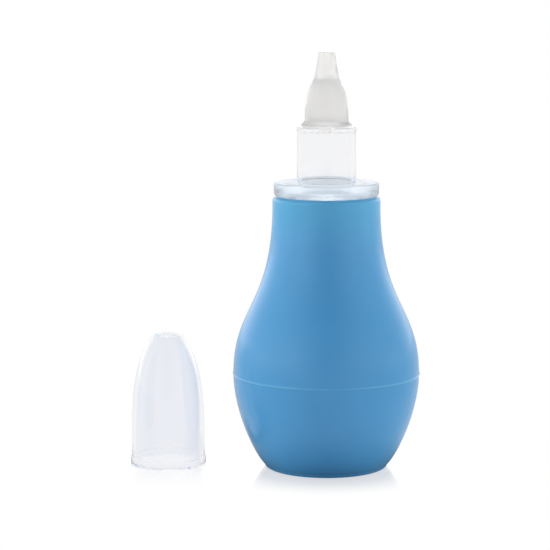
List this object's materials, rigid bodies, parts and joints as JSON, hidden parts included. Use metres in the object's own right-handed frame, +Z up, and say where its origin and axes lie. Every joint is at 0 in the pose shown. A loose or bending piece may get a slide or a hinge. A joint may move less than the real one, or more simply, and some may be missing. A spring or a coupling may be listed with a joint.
{
  "type": "nasal aspirator",
  "caption": "Baby nasal aspirator: soft round squeeze bulb, clear collar with a collecting chamber, soft tapered nozzle tip and a clear push-on cap.",
  "frame": {"origin": "centre of the bulb's flat base, on the surface that the aspirator stands on", "axes": "+Z up along the bulb and nozzle, towards the nozzle's end; the cap stands towards -X; -Y is the side that the picture was taken from"},
  "size_m": [0.0759, 0.0486, 0.108],
  "materials": {
    "bulb": "soft satin blue elastomer, slightly translucent at thin edges",
    "clear_collar": "clear glossy polypropylene with a faint milky haze",
    "soft_tip": "frosted translucent silicone, soft sheen",
    "clear_cap": "clear glossy polypropylene with a faint lavender haze"
  },
  "bodies": {
    "bulb": {"bulb_body": "bulb"},
    "squeeze_side_right": {"squeeze_wall_right": "bulb"},
    "squeeze_side_left": {"squeeze_wall_left": "bulb"},
    "collar": {"collar": "clear_collar"},
    "tip": {"nozzle_tip": "soft_tip"},
    "cap": {"cap": "clear_cap"}
  },
  "joints": [
    {"name": "squeeze_right", "type": "slide", "parent": "bulb", "child": "squeeze_side_right", "axis": [-1, 0, 0], "range_m": [0, 0.01], "stiffness_N_per_m": 900},
    {"name": "squeeze_left", "type": "slide", "parent": "bulb", "child": "squeeze_side_left", "axis": [1, 0, 0], "range_m": [0, 0.01], "stiffness_N_per_m": 900},
    {"name": "collar_pull", "type": "slide", "parent": "bulb", "child": "collar", "axis": [0, 0, 1], "range_m": [0, 0.018]},
    {"name": "tip_pull", "type": "slide", "parent": "collar", "child": "tip", "axis": [0, 0, 1], "range_m": [0, 0.014]},
    {"name": "cap_lift", "type": "slide", "parent": "bulb", "child": "cap", "axis": [0, 0, 1], "range_m": [0, 0.12]}
  ],
  "couplings": [
    {"joint": "squeeze_left", "follows": "squeeze_right", "ratio": 1}
  ]
}
